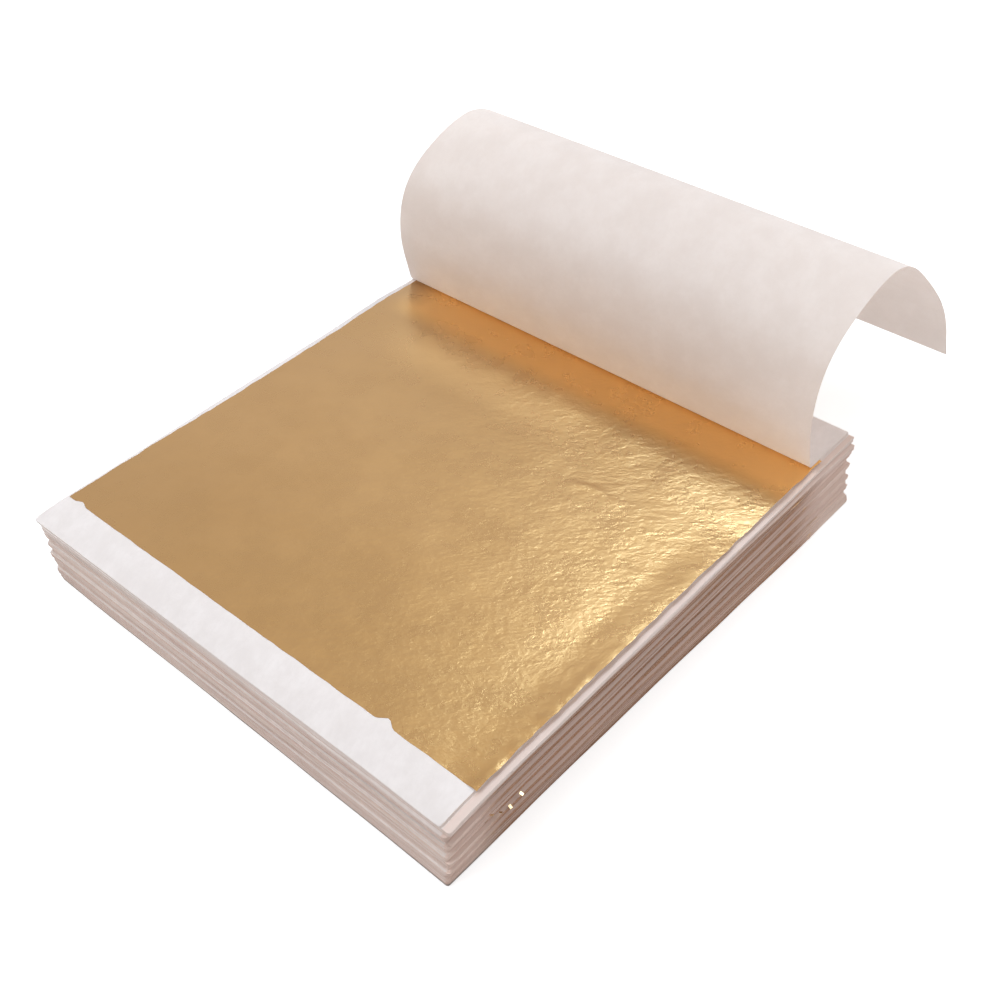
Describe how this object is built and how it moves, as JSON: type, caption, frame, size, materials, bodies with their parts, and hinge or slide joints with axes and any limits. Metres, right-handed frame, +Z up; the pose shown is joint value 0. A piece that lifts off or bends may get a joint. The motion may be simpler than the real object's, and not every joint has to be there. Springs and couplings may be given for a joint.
{
  "type": "gold leaf booklet",
  "caption": "Booklet of folded tissues with a loose metal leaf in each, wire-stitched at the back, its top page curled back off the open leaf.",
  "frame": {"origin": "on the plane of the flat underside, below the middle of the open tissue", "axes": "+Z up, +Y from the open front edge back to the bound fold, +X to the right seen from the front"},
  "size_m": [0.0879, 0.1295, 0.0408],
  "materials": {
    "tissue": "thin matt tissue, faintly pink white",
    "metal_leaf": "satin, finely crinkled",
    "stitching_wire": "drawn wire"
  },
  "bodies": {
    "booklet": {"tissue_packet_1": "tissue", "tissue_packet_2": "tissue", "tissue_packet_3": "tissue", "tissue_packet_4": "tissue", "tissue_packet_5": "tissue", "tissue_packet_6": "tissue", "tissue_packet_7": "tissue", "tissue_packet_8": "tissue", "tissue_packet_9": "tissue", "tissue_packet_10": "tissue", "leaf_packet_1": "metal_leaf", "leaf_packet_2": "metal_leaf", "leaf_packet_3": "metal_leaf", "leaf_packet_4": "metal_leaf", "leaf_packet_5": "metal_leaf", "leaf_packet_6": "metal_leaf", "leaf_packet_7": "metal_leaf", "leaf_packet_8": "metal_leaf", "leaf_packet_9": "metal_leaf", "leaf_packet_10": "metal_leaf", "open_folio": "tissue", "stitch_left": "stitching_wire", "stitch_right": "stitching_wire"},
    "loose_leaf": {"open_leaf": "metal_leaf"},
    "page_1": {"page_panel_1": "tissue"},
    "page_2": {"page_panel_2": "tissue"},
    "page_3": {"page_panel_3": "tissue"},
    "page_4": {"page_panel_4": "tissue"},
    "page_5": {"page_panel_5": "tissue"},
    "page_6": {"page_panel_6": "tissue"},
    "page_7": {"page_panel_7": "tissue"}
  },
  "joints": [
    {"name": "page_turn", "type": "hinge", "parent": "booklet", "child": "page_1", "pos_m": [0, 0.0361, 0.01396], "axis": [1, 0, 0], "range_deg": [0, 79]},
    {"name": "page_bend_1", "type": "hinge", "parent": "page_1", "child": "page_2", "pos_m": [0, 0.03389, 0.02535], "axis": [1, 0, 0], "range_deg": [0, 29]},
    {"name": "page_bend_2", "type": "hinge", "parent": "page_2", "child": "page_3", "pos_m": [0, 0.03698, 0.03486], "axis": [1, 0, 0], "range_deg": [0, 46]},
    {"name": "page_bend_3", "type": "hinge", "parent": "page_3", "child": "page_4", "pos_m": [0, 0.04776, 0.04012], "axis": [1, 0, 0], "range_deg": [0, 22]},
    {"name": "page_bend_4", "type": "hinge", "parent": "page_4", "child": "page_5", "pos_m": [0, 0.05774, 0.04082], "axis": [1, 0, 0], "range_deg": [0, 46]},
    {"name": "page_bend_5", "type": "hinge", "parent": "page_5", "child": "page_6", "pos_m": [0, 0.06814, 0.03145], "axis": [1, 0, 0], "range_deg": [0, 7]},
    {"name": "page_bend_6", "type": "hinge", "parent": "page_6", "child": "page_7", "pos_m": [0, 0.07733, 0.02088], "axis": [1, 0, 0], "range_deg": [0, 21]},
    {"name": "leaf_draw", "type": "slide", "parent": "booklet", "child": "loose_leaf", "axis": [0, -1, 0], "range_m": [0, 0.09]}
  ],
  "couplings": [
    {"joint": "page_bend_1", "follows": "page_turn", "ratio": 0.36709},
    {"joint": "page_bend_2", "follows": "page_turn", "ratio": 0.58228},
    {"joint": "page_bend_3", "follows": "page_turn", "ratio": 0.27848},
    {"joint": "page_bend_4", "follows": "page_turn", "ratio": 0.58228},
    {"joint": "page_bend_5", "follows": "page_turn", "ratio": 0.088608},
    {"joint": "page_bend_6", "follows": "page_turn", "ratio": 0.26582}
  ]
}
